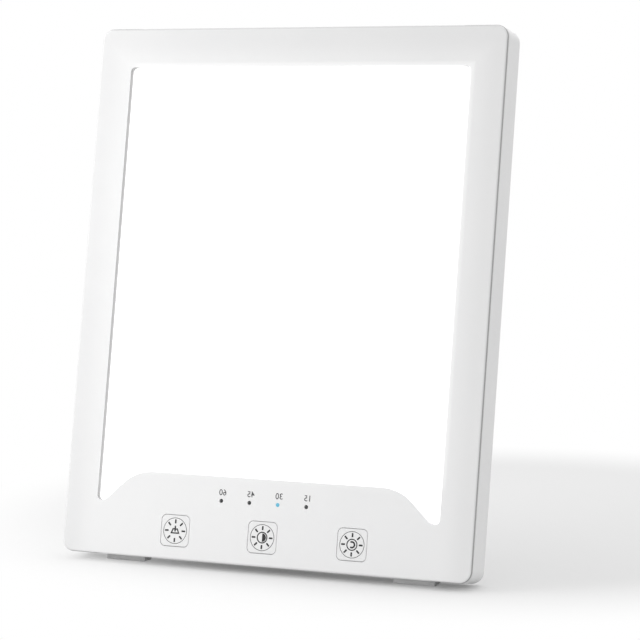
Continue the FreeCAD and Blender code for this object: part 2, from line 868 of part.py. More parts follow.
def make_indicator_leds():
    """One small LED under each light pipe."""
    lean_with_panel(group("indicator_leds", [
        box(f"indicator_{minutes}", f"{step} * pipe_pitch - indicator_size / 2",
            "control_board_depth - indicator_height", "pipe_centre - indicator_size / 2",
            "indicator_size", "indicator_height", "indicator_size")
        for minutes, step in PIPES.items()]))


def make_control_board():
    """The board behind the keys, on the bezel's four posts."""
    body = new_body("control_board")
    outline = sketch_at(body, "control_board_depth")
    add_rectangle(outline, "-board_half_width", "board_half_width",
                  "control_board_low", "control_board_high")
    pad(body, outline, "board_thickness")
    holes = sketch_at(body, "control_board_depth")
    for across, up in control_post_places():
        add_circle(holes, across, up, "small_screw_radius + hole_clearance")
    cut(body, holes, "board_thickness")
    lean_with_panel(body)


def make_control_board_screws():
    """The screws that hold the control board on its posts."""
    screws = [screw(f"board_screw_{number}", across, up, "control_board_back", "small_screw_radius",
                    "board_screw_length", "small_head_radius", "small_head_height", False)
              for number, (across, up) in enumerate(control_post_places(), start=1)]
    lean_with_panel(group("control_board_screws", screws))


def make_driver_components():
    """The chip, the coil and the capacitor on the back of the control board."""
    middle = "(control_board_low + control_board_high) / 2"
    chip = box("driver_chip", "-chip_size / 2", "control_board_back", f"{middle} - chip_size / 2",
               "chip_size", "chip_height", "chip_size")
    coil = rod("driver_coil", "-part_spacing", "control_board_back", middle, "coil_radius",
               "coil_height")
    capacitor = rod("driver_capacitor", "part_spacing", "control_board_back", middle,
                    "coil_radius * 0.75", "coil_height")
    lean_with_panel(group("driver_components", [chip, coil, capacitor]))


# Power inlet and leads

def make_dc_jack():
    """The barrel inlet in its cradle behind the back wall's opening, and its centre pin."""
    case = box("jack_case", "jack_across - jack_width / 2", "back_inside - jack_length",
               "jack_up - jack_height / 2", "jack_width", "jack_length", "jack_height")
    bore = rod("jack_bore", "jack_across", "back_inside - jack_bore_depth", "jack_up",
               "jack_bore_radius", "jack_bore_depth")
    lean_with_panel(subtract("dc_jack", case, bore))
    pin = rod("jack_pin", "jack_across", "back_inside - jack_bore_depth", "jack_up",
              "jack_pin_radius", "jack_pin_length")
    lean_with_panel(group("dc_jack_pin", [pin]))


def make_power_leads():
    """Two leads from the inlet's side to a connector on the front of the control board."""
    front = "control_board_depth - connector_height"
    connector = box("power_socket", "board_half_width - connector_depth", front,
                    "jack_up - connector_width / 2", "connector_depth", "connector_height",
                    "connector_width")
    lean_with_panel(group("power_connector", [connector]))
    for colour, side in (("red", 1), ("black", -1)):
        lead = bar(f"power_wire_{colour}", "board_half_width", f"{front} + connector_height / 2",
                   f"jack_up + {side} * lead_spacing / 2", "lead_radius",
                   "jack_across - jack_width / 2 - board_half_width", "across")
        lean_with_panel(group(f"power_lead_{colour}", [lead]))


def make_led_leads():
    """Two leads between a connector on the control board's back and one on the LED board's."""
    left = "-led_lead_across - connector_width / 2"
    lead_low = "control_board_high - connector_inset"
    lead_high = f"{lead_low} + led_lead_length"
    driver_end = box("driver_socket", left, "control_board_back", f"{lead_low} - connector_depth",
                     "connector_width", "connector_height", "connector_depth")
    lean_with_panel(group("driver_connector", [driver_end]))
    board_end = box("led_socket", left, "led_board_back", lead_high,
                    "connector_width", "connector_height", "connector_depth")
    lean_with_panel(group("led_connector", [board_end]))
    for colour, side in (("red", 1), ("black", -1)):
        lead = bar(f"led_wire_{colour}", f"-led_lead_across + {side} * lead_spacing / 2",
                   "led_board_back + connector_height / 2", lead_low, "lead_radius",
                   "led_lead_length", "up")
        lean_with_panel(group(f"led_lead_{colour}", [lead]))


# Swivel and stand

def make_housing_screws():
    """The screws that come in from the back and pull the bezel onto the rear shell."""
    screws = [screw(f"housing_screw_{number}", across, up, "counterbore_floor",
                    "housing_screw_radius", "housing_screw_length", "housing_head_radius",
                    "housing_head_height", False)
              for number, (across, up) in enumerate(housing_screw_places(), start=1)]
    lean_with_panel(group("housing_screws", screws))


def pin_bore(name, depth, up, length):
    """A hole across, centred, for the hinge pin."""
    return bar(name, f"-({length}) / 2", depth, up, "pin_radius + pin_clearance", length, "across")


def make_swivel_disc():
    """The disc in the rear well with its hub, and two ears that carry the hinge pin."""
    body = new_body("disc_and_hub")
    disc = sketch_at(body, "disc_front")
    add_circle(disc, "0", "hub_height", "well_radius - disc_gap")
    pad(body, disc, "disc_thickness")
    round_edges(body, "disc_edge_radius", flat_edge_at("disc_back"))
    hub = sketch_at(body, "hub_end")
    add_circle(hub, "0", "hub_height", "hub_radius")
    pad(body, hub, "disc_front - hub_end")
    pilots = sketch_at(body, "hub_end")
    for across, up in retainer_screw_places():
        add_circle(pilots, across, up, "small_screw_radius + thread_clearance")
    cut(body, pilots, "retainer_screw_length - retainer_thickness + thread_clearance")
    pieces = [body]
    for name, left in (("left", "-knuckle_width / 2 - ear_gap - ear_thickness"),
                       ("right", "knuckle_width / 2 + ear_gap")):
        pieces.append(box(f"ear_base_{name}", left, "disc_back", "hinge_height - ear_radius",
                          "ear_thickness", "hinge_depth - disc_back", "2 * ear_radius"))
        pieces.append(bar(f"ear_round_{name}", left, "hinge_depth", "hinge_height", "ear_radius",
                          "ear_thickness", "across"))
    with_ears = join("disc_with_ears", pieces)
    bore = pin_bore("ear_bore", "hinge_depth", "hinge_height", "2 * knuckle_width")
    lean_with_panel(subtract("swivel_disc", with_ears, bore))


def make_hub_retainer():
    """The steel plate that holds the hub in the shell, its washer and its screws."""
    body = new_body("hub_retainer")
    plate = sketch_at(body, "retainer_front")
    add_circle(plate, "0", "hub_height", "retainer_radius")
    pad(body, plate, "retainer_thickness")
    holes = sketch_at(body, "retainer_front")
    for across, up in retainer_screw_places():
        add_circle(holes, across, up, "small_screw_radius + hole_clearance")
    cut(body, holes, "retainer_thickness")
    lean_with_panel(body)
    washer = new_body("wave_washer")
    ring = sketch_at(washer, "hub_end")
    add_circle(ring, "0", "hub_height", "washer_outer_radius")
    add_circle(ring, "0", "hub_height", "hub_radius + washer_inner_gap")
    pad(washer, ring, "washer_thickness")
    lean_with_panel(washer)
    screws = [screw(f"retainer_screw_{number}", across, up, "retainer_front", "small_screw_radius",
                    "retainer_screw_length", "small_head_radius", "small_head_height", True)
              for number, (across, up) in enumerate(retainer_screw_places(), start=1)]
    lean_with_panel(group("retainer_screws", screws))


def make_hinge_pin():
    """The steel pin through the disc's ears and the leg's knuckle."""
    length = "knuckle_width + 2 * (ear_gap + ear_thickness)"
    pin = bar("pin_bar", f"-({length}) / 2", "hinge_depth", "hinge_height", "pin_radius", length,
              "across")
    lean_with_panel(group("hinge_pin", [pin]))


def make_stand_leg():
    """The flat leg, drawn from its hinge axis down, with a knuckle and a heel that stops it."""
    plate = new_body("leg_plate")
    outline = sketch_at(plate, "-leg_inner")
    foot = "-(leg_length - leg_foot_height)"
    right = [("knuckle_width / 2", "0"), ("knuckle_width / 2", "-leg_shoulder_drop"),
             ("leg_width / 2", "-leg_shoulder_drop - leg_shoulder_slope"), ("leg_width / 2", foot)]
    left = [(f"-({across})", up) for across, up in reversed(right)]
    add_polygon(outline, right + left)
    pad(plate, outline, "leg_thickness")
    round_edges(plate, "leg_corner", deep_edge_at(right[2:] + left[:2]))
    round_edges(plate, "leg_edge_radius", flat_edge_at("leg_outer", "0"))
    recess = sketch_at(plate, "leg_outer")
    reach = "(leg_width / 2 - leg_panel_margin)"
    low = "-(leg_length - leg_foot_height - leg_panel_low)"
    add_rounded_rectangle(recess, f"-{reach}", reach, low, f"{low} + leg_panel_height",
                          "leg_panel_corner")
    cut(plate, recess, "leg_panel_depth", towards_back=False)
    knuckle = bar("leg_knuckle", "-knuckle_width / 2", "0", "0", "knuckle_radius", "knuckle_width",
                  "across")
    heel = box("leg_heel", "-knuckle_width / 2", "leg_outer - heel_thickness", "0",
               "knuckle_width", "heel_thickness", "heel_length")
    bore = pin_bore("knuckle_bore", "0", "0", "2 * knuckle_width")
    stand_with_leg(subtract("stand_leg", join("leg_blank", [plate, knuckle, heel]), bore))


def make_leg_foot():
    """The rubber end of the leg, cut level with the table."""
    body = new_body("leg_foot")
    profile = side_sketch(body, "-leg_foot_width / 2")
    top = "-(leg_length - leg_foot_height)"

    def table(depth):
        return f"-(hinge_above_floor + ({depth}) * sin(leg_tilt)) / cos(leg_tilt)"
    add_polygon(profile, [("-leg_inner", top), ("-leg_inner", table("-leg_inner")),
                          ("leg_outer", table("leg_outer")), ("leg_outer", top)])
    pad(body, profile, "leg_foot_width", towards_back=False)
    stand_with_leg(body)


def make_bottom_feet():
    """Two rubber wedges under the bottom wall that stand level on the table."""
    rear = "foot_front + foot_depth"

    def table(depth):
        return f"(({depth}) * sin(lean_angle) - panel_lift) / cos(lean_angle)"
    for name, middle in (("left", "-foot_across"), ("right", "foot_across")):
        body = new_body(f"bottom_foot_{name}")
        profile = side_sketch(body, f"{middle} - foot_length / 2")
        add_polygon(profile, [("foot_front", "0"), ("foot_front", table("foot_front")),
                              (rear, table(rear)), (rear, "0")])
        pad(body, profile, "foot_length", towards_back=False)
        lean_with_panel(body)


def check_and_write():
    """Stops at any failed object or bad solid, then writes each sub-part to its own file."""
    doc.recompute()
    failed = [item.Name for item in doc.Objects if {"Invalid", "Error"} & set(item.State)]
    if failed:
        raise ValueError(f"failed objects: {failed}")
    for item in sub_parts:
        if item.Shape.isNull() or not item.Shape.isValid():
            raise ValueError(f"bad shape: {item.Label}")
    os.makedirs("parts", exist_ok=True)
    for item in sub_parts:
        item.Shape.exportStep(f"parts/{item.Label}.step")
        solids = len(item.Shape.Solids)
        print(f"{item.Label}: {solids} solid(s), {item.Shape.Volume / 1000:.3f} cm3")


fill_sheet()
make_front_bezel()
make_rear_shell()
make_diffuser_panel()
make_reflector_frame()
make_reflector_sheet()
make_led_board()
make_led_chips()
make_led_board_screws()
for key_name, key_step in KEYS.items():
    make_key(key_name, key_step)
for pipe_minutes, pipe_step in PIPES.items():
    make_light_pipe(pipe_minutes, pipe_step)
make_indicator_leds()
make_control_board()
make_control_board_screws()
make_driver_components()
make_dc_jack()
make_power_leads()
make_led_leads()
make_housing_screws()
make_swivel_disc()
make_hub_retainer()
make_hinge_pin()
make_stand_leg()
make_leg_foot()
make_bottom_feet()
check_and_write()
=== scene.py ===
import bmesh
import bpy
import math
from mathutils import Matrix, Vector


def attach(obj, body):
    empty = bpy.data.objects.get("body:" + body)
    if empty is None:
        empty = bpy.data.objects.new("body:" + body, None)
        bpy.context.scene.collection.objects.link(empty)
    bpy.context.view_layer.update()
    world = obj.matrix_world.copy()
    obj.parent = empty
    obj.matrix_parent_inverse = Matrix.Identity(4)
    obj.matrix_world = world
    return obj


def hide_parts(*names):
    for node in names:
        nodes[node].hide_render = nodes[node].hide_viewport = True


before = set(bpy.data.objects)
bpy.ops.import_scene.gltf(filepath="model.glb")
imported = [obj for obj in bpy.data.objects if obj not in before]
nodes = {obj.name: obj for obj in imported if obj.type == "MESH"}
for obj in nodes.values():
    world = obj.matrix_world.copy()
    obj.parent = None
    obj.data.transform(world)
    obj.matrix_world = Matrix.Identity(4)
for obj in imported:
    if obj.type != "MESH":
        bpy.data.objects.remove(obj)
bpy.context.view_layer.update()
scene = bpy.context.scene
mm = 0.001
print("frame loaded:", len(nodes), "nodes")

# the panel leans back on its bottom front edge; everything on it is made upright, then leaned
panel = {"lean": 10.25, "frontEdge": (0, -0.0340196, 0.0038299)}
panelPlace = (Matrix.Translation(panel["frontEdge"])
              @ Matrix.Rotation(-math.radians(panel["lean"]), 4, "X"))
stayPut = Matrix.Identity(4)

# the part of the noise's range that colour and gloss follow
noiseBand = {"gloss": (0.3, 0.7), "tone": (0.35, 0.65)}


def newFinish(name):
    finish = bpy.data.materials.new(name)
    finish.use_nodes = True
    nodeTree = finish.node_tree
    return finish, nodeTree, nodeTree.nodes["Principled BSDF"]


# noise on object coordinates, stretched along one axis where the finish has a direction
def noiseOn(nodeTree, size, detail, stretch=(1, 1, 1)):
    place = nodeTree.nodes.new("ShaderNodeTexCoord")
    mapping = nodeTree.nodes.new("ShaderNodeMapping")
    mapping.inputs["Scale"].default_value = stretch
    noise = nodeTree.nodes.new("ShaderNodeTexNoise")
    noise.inputs["Scale"].default_value = 1 / size
    noise.inputs["Detail"].default_value = detail
    nodeTree.links.new(place.outputs["Object"], mapping.inputs["Vector"])
    nodeTree.links.new(mapping.outputs["Vector"], noise.inputs["Vector"])
    return noise.outputs["Fac"]


# one step of arithmetic on sockets or numbers
def maths(nodeTree, kind, first, second=None):
    node = nodeTree.nodes.new("ShaderNodeMath")
    node.operation = kind
    for socket, value in zip(node.inputs, (first, second)):
        if isinstance(value, (int, float)):
            socket.default_value = value
        elif value is not None:
            nodeTree.links.new(value, socket)
    return node.outputs[0]


# turns a value that runs over a band into one that runs from low to high
def fade(nodeTree, value, band, low, high, soft=True):
    node = nodeTree.nodes.new("ShaderNodeMapRange")
    node.interpolation_type = "SMOOTHSTEP" if soft else "LINEAR"
    for socket, number in zip(("From Min", "From Max", "To Min", "To Max"), (*band, low, high)):
        node.inputs[socket].default_value = number
    nodeTree.links.new(value, node.inputs["Value"])
    return node.outputs["Result"]


def twoTone(nodeTree, value, first, second):
    ramp = nodeTree.nodes.new("ShaderNodeValToRGB")
    for element, position, colour in zip(ramp.color_ramp.elements, noiseBand["tone"], (first, second)):
        element.position = position
        element.color = (*colour, 1)
    nodeTree.links.new(value, ramp.inputs["Fac"])
    return ramp.outputs["Color"]


# darkens a colour to a share of itself where the factor is 1; used for painted shade
def paintedShade(nodeTree, colour, factor, share):
    node = nodeTree.nodes.new("ShaderNodeMix")
    node.data_type = "RGBA"
    node.blend_type = "MULTIPLY"
    nodeTree.links.new(factor, node.inputs["Factor"])
    nodeTree.links.new(colour, node.inputs["A"])
    node.inputs["B"].default_value = (share, share, share, 1)
    return node.outputs["Result"]


def roughen(nodeTree, shader, height, strength, depth):
    bump = nodeTree.nodes.new("ShaderNodeBump")
    bump.inputs["Strength"].default_value = strength
    bump.inputs["Distance"].default_value = depth
    nodeTree.links.new(height, bump.inputs["Height"])
    nodeTree.links.new(bump.outputs["Normal"], shader.inputs["Normal"])


# what a finish has where its own look says nothing else
plainLook = {
    "driftSize": 50 * mm, "driftDetail": 3, "glossSize": 12 * mm, "glossDetail": 5,
    "grainDetail": 2, "grainDepth": 0.04 * mm, "stretch": (1, 1, 1), "metal": 0, "coat": 0,
}


# moulded, stamped or cast: a drift of colour, a drift of gloss, and a fine grain
def solidFinish(name, look):
    look = {**plainLook, **look}
    finish, nodeTree, shader = newFinish(name)
    drift = noiseOn(nodeTree, look["driftSize"], look["driftDetail"])
    nodeTree.links.new(twoTone(nodeTree, drift, look["colour"], look["shade"]), shader.inputs["Base Color"])
    gloss = noiseOn(nodeTree, look["glossSize"], look["glossDetail"], look["stretch"])
    roughness = fade(nodeTree, gloss, noiseBand["gloss"], *look["roughness"], soft=False)
    nodeTree.links.new(roughness, shader.inputs["Roughness"])
    grain = noiseOn(nodeTree, look["grainSize"], look["grainDetail"], look["stretch"])
    roughen(nodeTree, shader, grain, look["grain"], look["grainDepth"])
    shader.inputs["Metallic"].default_value = look["metal"]
    shader.inputs["Coat Weight"].default_value = look["coat"]
    return finish


solidLooks = {
    "shellWhite": {"colour": (0.88, 0.88, 0.88), "shade": (0.865, 0.866, 0.868),
                   "roughness": (0.50, 0.60), "grainSize": 0.7 * mm, "grain": 0.25},
    "standWhite": {"colour": (0.87, 0.87, 0.87), "shade": (0.85, 0.851, 0.853),
                   "roughness": (0.48, 0.58), "grainSize": 0.6 * mm, "grain": 0.20},
    "keyWhite": {"colour": (0.95, 0.95, 0.95), "shade": (0.94, 0.941, 0.943),
                 "roughness": (0.40, 0.48), "grainSize": 0.4 * mm, "grain": 0.10},
    "printInk": {"colour": (0.012, 0.012, 0.013), "shade": (0.020, 0.020, 0.022), "driftSize": 2 * mm,
                 "roughness": (0.45, 0.60), "grainSize": 0.3 * mm, "grain": 0.15},
    "printGrey": {"colour": (0.075, 0.076, 0.078), "shade": (0.10, 0.101, 0.104), "driftSize": 2 * mm,
                  "roughness": (0.45, 0.60), "grainSize": 0.3 * mm, "grain": 0.15},
    "paleRubber": {"colour": (0.90, 0.90, 0.90), "shade": (0.86, 0.86, 0.86), "driftSize": 6 * mm,
                   "roughness": (0.60, 0.74), "grainSize": 0.5 * mm, "grain": 0.4},
    "reflectorWhite": {"colour": (0.93, 0.93, 0.93), "shade": (0.90, 0.90, 0.90),
                       "roughness": (0.25, 0.35), "grainSize": 0.8 * mm, "grain": 0.1},
    "boardWhite": {"colour": (0.88, 0.89, 0.88), "shade": (0.84, 0.85, 0.84),
                   "roughness": (0.25, 0.4), "grainSize": 3 * mm, "grain": 0.2},
    "boardGreen": {"colour": (0.012, 0.10, 0.045), "shade": (0.02, 0.14, 0.065), "driftSize": 4 * mm,
                   "roughness": (0.22, 0.36), "grainSize": 1.2 * mm, "grain": 0.35, "coat": 0.3},
    "phosphor": {"colour": (0.88, 0.72, 0.28), "shade": (0.84, 0.66, 0.22),
                 "roughness": (0.3, 0.45), "grainSize": 0.5 * mm, "grain": 0.15},
    "steel": {"colour": (0.56, 0.56, 0.57), "shade": (0.48, 0.485, 0.50), "stretch": (0.1, 1, 1),
              "roughness": (0.24, 0.40), "grainSize": 0.6 * mm, "grain": 0.2, "metal": 1},
    "pinNickel": {"colour": (0.70, 0.68, 0.63), "shade": (0.62, 0.60, 0.56),
                  "roughness": (0.12, 0.22), "grainSize": 0.5 * mm, "grain": 0.1, "metal": 1},
    "blackPlastic": {"colour": (0.018, 0.018, 0.019), "shade": (0.026, 0.026, 0.028),
                     "roughness": (0.38, 0.52), "grainSize": 0.4 * mm, "grain": 0.3},
    "ivoryNylon": {"colour": (0.80, 0.77, 0.68), "shade": (0.76, 0.72, 0.62),
                   "roughness": (0.38, 0.5), "grainSize": 0.6 * mm, "grain": 0.2},
    "redJacket": {"colour": (0.48, 0.015, 0.012), "shade": (0.40, 0.012, 0.010),
                  "roughness": (0.3, 0.42), "grainSize": 0.8 * mm, "grain": 0.2},
    "blackJacket": {"colour": (0.016, 0.016, 0.017), "shade": (0.024, 0.024, 0.026),
                    "roughness": (0.3, 0.42), "grainSize": 0.8 * mm, "grain": 0.2},
    "rubber": {"colour": (0.075, 0.077, 0.080), "shade": (0.10, 0.102, 0.105), "driftSize": 6 * mm,
               "roughness": (0.68, 0.82), "grainSize": 0.5 * mm, "grain": 0.5},
    "smokedPipe": {"colour": (0.035, 0.036, 0.038), "shade": (0.05, 0.052, 0.055),
                   "roughness": (0.10, 0.18), "grainSize": 0.6 * mm, "grain": 0.05},
}
finishes = {name: solidFinish(name, look) for name, look in solidLooks.items()}

bezelLook = {"colour": (0.90, 0.90, 0.90), "shade": (0.885, 0.886, 0.888),
             "roughness": (0.42, 0.50), "grainSize": 0.5 * mm, "grain": 0.10}
# where the bezel gets a painted glow and painted shade, in the upright panel's own axes
rim = {
    "windowSide": 85.3 * mm, "windowTop": 227.7 * mm,
    "wideGlow": 0.055, "wideReach": 13 * mm,
    "lipGlow": 0.10, "lipReach": 2.8 * mm,
    "lipAbove": (36 * mm, 46 * mm), "lipRightOf": (-86 * mm, -80 * mm),
    "frontFace": (0.15 * mm, 0.5 * mm), "nearSide": (-6 * mm, -2 * mm),
    "wallShadeShare": 0.42, "wallDepth": (1.6 * mm, 3.8 * mm), "wallFaded": 0.45,
    "topShadeShare": 0.80, "topEdge": (245.0 * mm, 245.6 * mm),
}


# the bezel gets a faint painted glow round the window, with a brighter painted lip right of its left side
# and above its lower border; painted shade darkens the window's side walls and the top edge
def bezelFinishWithPaintedLight(name, look):
    finish = solidFinish(name, look)
    nodeTree = finish.node_tree
    shader = nodeTree.nodes["Principled BSDF"]
    link = nodeTree.links.new
    place = nodeTree.nodes.new("ShaderNodeTexCoord")
    upright = nodeTree.nodes.new("ShaderNodeMapping")
    upright.inputs["Rotation"].default_value = (math.radians(panel["lean"]), 0, 0)
    upright.inputs["Location"].default_value = panelPlace.inverted().to_translation()
    axes = nodeTree.nodes.new("ShaderNodeSeparateXYZ")
    link(place.outputs["Object"], upright.inputs["Vector"])
    link(upright.outputs["Vector"], axes.inputs["Vector"])
    across, depth, up = (axes.outputs[axis] for axis in ("X", "Y", "Z"))

    # painted glow: emission fading out from the window's edge, kept off the window's own walls
    beside = maths(nodeTree, "SUBTRACT", maths(nodeTree, "ABSOLUTE", across), rim["windowSide"])
    above = maths(nodeTree, "SUBTRACT", up, rim["windowTop"])
    away = maths(nodeTree, "MAXIMUM", beside, above)
    wide = fade(nodeTree, away, (0, rim["wideReach"]), rim["wideGlow"], 0)
    lip = fade(nodeTree, away, (0, rim["lipReach"]), rim["lipGlow"], 0)
    lip = maths(nodeTree, "MULTIPLY", lip, fade(nodeTree, up, rim["lipAbove"], 0, 1))
    lip = maths(nodeTree, "MULTIPLY", lip, fade(nodeTree, across, rim["lipRightOf"], 0, 1))
    glow = maths(nodeTree, "ADD", wide, lip)

    behindFace = fade(nodeTree, depth, rim["frontFace"], 0, 1)
    inside = maths(nodeTree, "MULTIPLY", behindFace, fade(nodeTree, beside, rim["nearSide"], 0, 1))
    outside = maths(nodeTree, "SUBTRACT", 1, inside)
    link(maths(nodeTree, "MULTIPLY", glow, outside), shader.inputs["Emission Strength"])
    shader.inputs["Emission Color"].default_value = (1, 1, 1, 1)

    # painted shade: the window's side walls darker, most towards the front, and the top edge darker
    paintedWallShade = fade(nodeTree, depth, rim["wallDepth"], 1, rim["wallFaded"])
    paintedWallShade = maths(nodeTree, "MULTIPLY", inside, paintedWallShade)
    colour = shader.inputs["Base Color"].links[0].from_socket
    colour = paintedShade(nodeTree, colour, paintedWallShade, rim["wallShadeShare"])
    colour = paintedShade(nodeTree, colour, fade(nodeTree, up, rim["topEdge"], 0, 1), rim["topShadeShare"])
    link(colour, shader.inputs["Base Color"])
    return finish


finishes["bezelWhite"] = bezelFinishWithPaintedLight("bezelFace", bezelLook)

sheetLook = {"colour": (0.92, 0.92, 0.92), "glow": (1, 1, 1), "glowShade": (0.985, 0.99, 0.995),
             "strength": 1.0, "hazeSize": 80 * mm, "grainSize": 0.6 * mm}
blueLook = {"colour": (0.06, 0.16, 0.22), "glow": (0.075, 0.34, 0.47), "glowShade": (0.09, 0.38, 0.51),
            "strength": 0.95, "hazeSize": 1 * mm, "grainSize": 0.4 * mm}
satin = {"roughness": (0.32, 0.42), "glossSize": 10 * mm, "glossDetail": 3,
         "hazeDetail": 2, "grainDetail": 2, "grain": 0.12, "grainDepth": 0.03 * mm}


# light comes out evenly through a satin skin
def glowingFinish(name, look):
    finish, nodeTree, shader = newFinish(name)
    shader.inputs["Base Color"].default_value = (*look["colour"], 1)
    haze = noiseOn(nodeTree, look["hazeSize"], satin["hazeDetail"])
    glow = twoTone(nodeTree, haze, look["glow"], look["glowShade"])
    nodeTree.links.new(glow, shader.inputs["Emission Color"])
    shader.inputs["Emission Strength"].default_value = look["strength"]
    gloss = noiseOn(nodeTree, satin["glossSize"], satin["glossDetail"])
    roughness = fade(nodeTree, gloss, noiseBand["gloss"], *satin["roughness"], soft=False)
    nodeTree.links.new(roughness, shader.inputs["Roughness"])
    grain = noiseOn(nodeTree, look["grainSize"], satin["grainDetail"])
    roughen(nodeTree, shader, grain, satin["grain"], satin["grainDepth"])
    return finish


finishes["milkySheet"] = glowingFinish("milkySheet", sheetLook)
finishes["litBlue"] = glowingFinish("litBlue", blueLook)

nodeFinish = {
    "front_bezel": "bezelWhite", "rear_shell": "shellWhite", "diffuser_panel": "milkySheet",
    "reflector_frame": "reflectorWhite", "reflector_sheet": "reflectorWhite", "led_board": "boardWhite",
    "led_chips": "phosphor", "led_board_screws": "steel", "control_board": "boardGreen",
    "control_board_screws": "steel", "driver_components": "blackPlastic", "dc_jack": "blackPlastic",
    "dc_jack_pin": "pinNickel", "power_connector": "ivoryNylon", "driver_connector": "ivoryNylon",
    "led_connector": "ivoryNylon", "power_lead_red": "redJacket", "led_lead_red": "redJacket",
    "power_lead_black": "blackJacket", "led_lead_black": "blackJacket", "housing_screws": "steel",
    "swivel_disc": "standWhite", "hub_retainer": "steel", "wave_washer": "steel",
    "retainer_screws": "steel", "hinge_pin": "steel", "stand_leg": "standWhite", "leg_foot": "rubber",
    "bottom_foot_left": "paleRubber", "bottom_foot_right": "paleRubber", "indicator_leds": "phosphor",
    "light_pipe_60": "smokedPipe", "light_pipe_45": "smokedPipe", "light_pipe_30": "litBlue",
    "light_pipe_15": "smokedPipe",
}
for key in ("power", "brightness", "timer"):
    nodeFinish[f"key_cap_{key}"] = "keyWhite"
    nodeFinish[f"key_plunger_{key}"] = "ivoryNylon"
    nodeFinish[f"key_switch_{key}"] = "blackPlastic"
for name, node in nodes.items():
    node.data.materials.clear()
    node.data.materials.append(finishes[nodeFinish[name]])
print("finishes given to", len(nodes), "nodes")


def selectOnly(*pieces):
    if bpy.context.object and bpy.context.object.mode != "OBJECT":
        bpy.ops.object.mode_set(mode="OBJECT")
    bpy.ops.object.select_all(action="DESELECT")
    for piece in pieces:
        piece.select_set(True)
    bpy.context.view_layer.objects.active = pieces[0]


def edit(piece):
    selectOnly(piece)
    bpy.ops.object.mode_set(mode="EDIT")


# selects the faces or verts of the piece in edit mode that pass the test
def pick(piece, kind, test):
    bpy.ops.mesh.select_mode(type={"faces": "FACE", "verts": "VERT"}[kind])
    bpy.ops.mesh.select_all(action="DESELECT")
    mesh = bmesh.from_edit_mesh(piece.data)
    for part in getattr(mesh, kind):
        if test(part):
            part.select_set(True)
    mesh.select_flush_mode()
    bmesh.update_edit_mesh(piece.data)


def applyModifier(piece, kind, **settings):
    selectOnly(piece)
    modifier = piece.modifiers.new(kind.title(), kind)
    for setting, value in settings.items():
        setattr(modifier, setting, value)
    bpy.ops.object.modifier_apply(modifier=modifier.name)


def joined(*pieces):
    selectOnly(*pieces)
    bpy.ops.object.join()
    return bpy.context.object


# draws a disc out on its upright axis from level to level, each a radius and a height
def turned(profile, corners):
    radius, height = profile[0]
    bpy.ops.mesh.primitive_circle_add(vertices=corners, radius=radius, fill_type="NGON",
                                      location=(0, 0, height))
    piece = bpy.context.object
    edit(piece)
    bpy.ops.mesh.select_all(action="SELECT")
    for nextRadius, nextHeight in profile[1:]:
        bpy.ops.mesh.extrude_region_move(TRANSFORM_OT_translate={"value": (0, 0, nextHeight - height)})
        grow = nextRadius / radius
        bpy.ops.transform.resize(value=(grow, grow, 1), center_override=(0, 0, nextHeight))
        radius, height = nextRadius, nextHeight
    bpy.ops.mesh.select_all(action="SELECT")
    bpy.ops.mesh.normals_make_consistent(inside=False)
    bpy.ops.object.mode_set(mode="OBJECT")
    bpy.ops.object.transform_apply(location=True, rotation=True, scale=True)
    return piece


# copies a finished model to its places, throws the model away, and joins the copies
def repeated(model, places):
    copies = []
    for place in places:
        selectOnly(model)
        bpy.ops.object.duplicate(linked=False)
        copy = bpy.context.object
        copy.matrix_world = place
        bpy.ops.object.transform_apply(location=True, rotation=True, scale=True)
        copies.append(copy)
    selectOnly(model)
    bpy.ops.object.delete()
    return joined(*copies)


# a place in the panel, in millimetres, with the model's top turned to the back or the front
def turnedTo(across, depth, up, facingBack):
    turn = Matrix.Rotation(math.radians(-90 if facingBack else 90), 4, "X")
    return Matrix.Translation((across * mm, depth * mm, up * mm)) @ turn


# puts the finished piece in its place, with the object itself at the origin
def settle(piece, name, body, finish, place, replaced=()):
    selectOnly(piece)
    piece.name = name
    piece.data.name = name
    piece.matrix_world = place @ piece.matrix_world
    bpy.ops.object.transform_apply(location=True, rotation=True, scale=True)
    piece.data.materials.clear()
    piece.data.materials.append(finishes[finish])
    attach(piece, body)
    if replaced:
        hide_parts(*replaced)


ink = {"height": 0.04 * mm, "face": 0, "stepsPerTurn": 96, "fewestSteps": 8, "weld": 1e-7,
       "cornerShare": 0.3, "cornerSteps": 3}
facing = (math.pi / 2, 0, 0)   # flat drawings face the user


# a line of even width along an arc, angles in degrees from the right, turning up
def arcLine(across, up, radius, width, start=0, sweep=360):
    bpy.ops.mesh.primitive_plane_add(size=1, location=(across, ink["face"], up), rotation=facing)
    line = bpy.context.object
    edit(line)
    bpy.ops.mesh.delete(type="ONLY_FACE")
    pick(line, "verts", lambda v: v.co.y > 0)
    bpy.ops.mesh.delete(type="VERT")
    mesh = bmesh.from_edit_mesh(line.data)
    turn = Matrix.Rotation(math.radians(start), 3, "Z")
    mesh.verts.ensure_lookup_table()
    for vert, reach in zip(mesh.verts, (radius - width / 2, radius + width / 2)):
        vert.co = turn @ Vector((reach, 0, 0))
    bmesh.update_edit_mesh(line.data)
    bpy.ops.mesh.select_all(action="SELECT")
    steps = max(ink["fewestSteps"], round(ink["stepsPerTurn"] * sweep / 360))
    bpy.ops.mesh.spin(steps=steps, angle=math.radians(sweep),
                      center=(across, ink["face"], up), axis=(0, 1, 0))
    bpy.ops.mesh.select_all(action="SELECT")
    bpy.ops.mesh.remove_doubles(threshold=ink["weld"])
    bpy.ops.object.mode_set(mode="OBJECT")
    return line


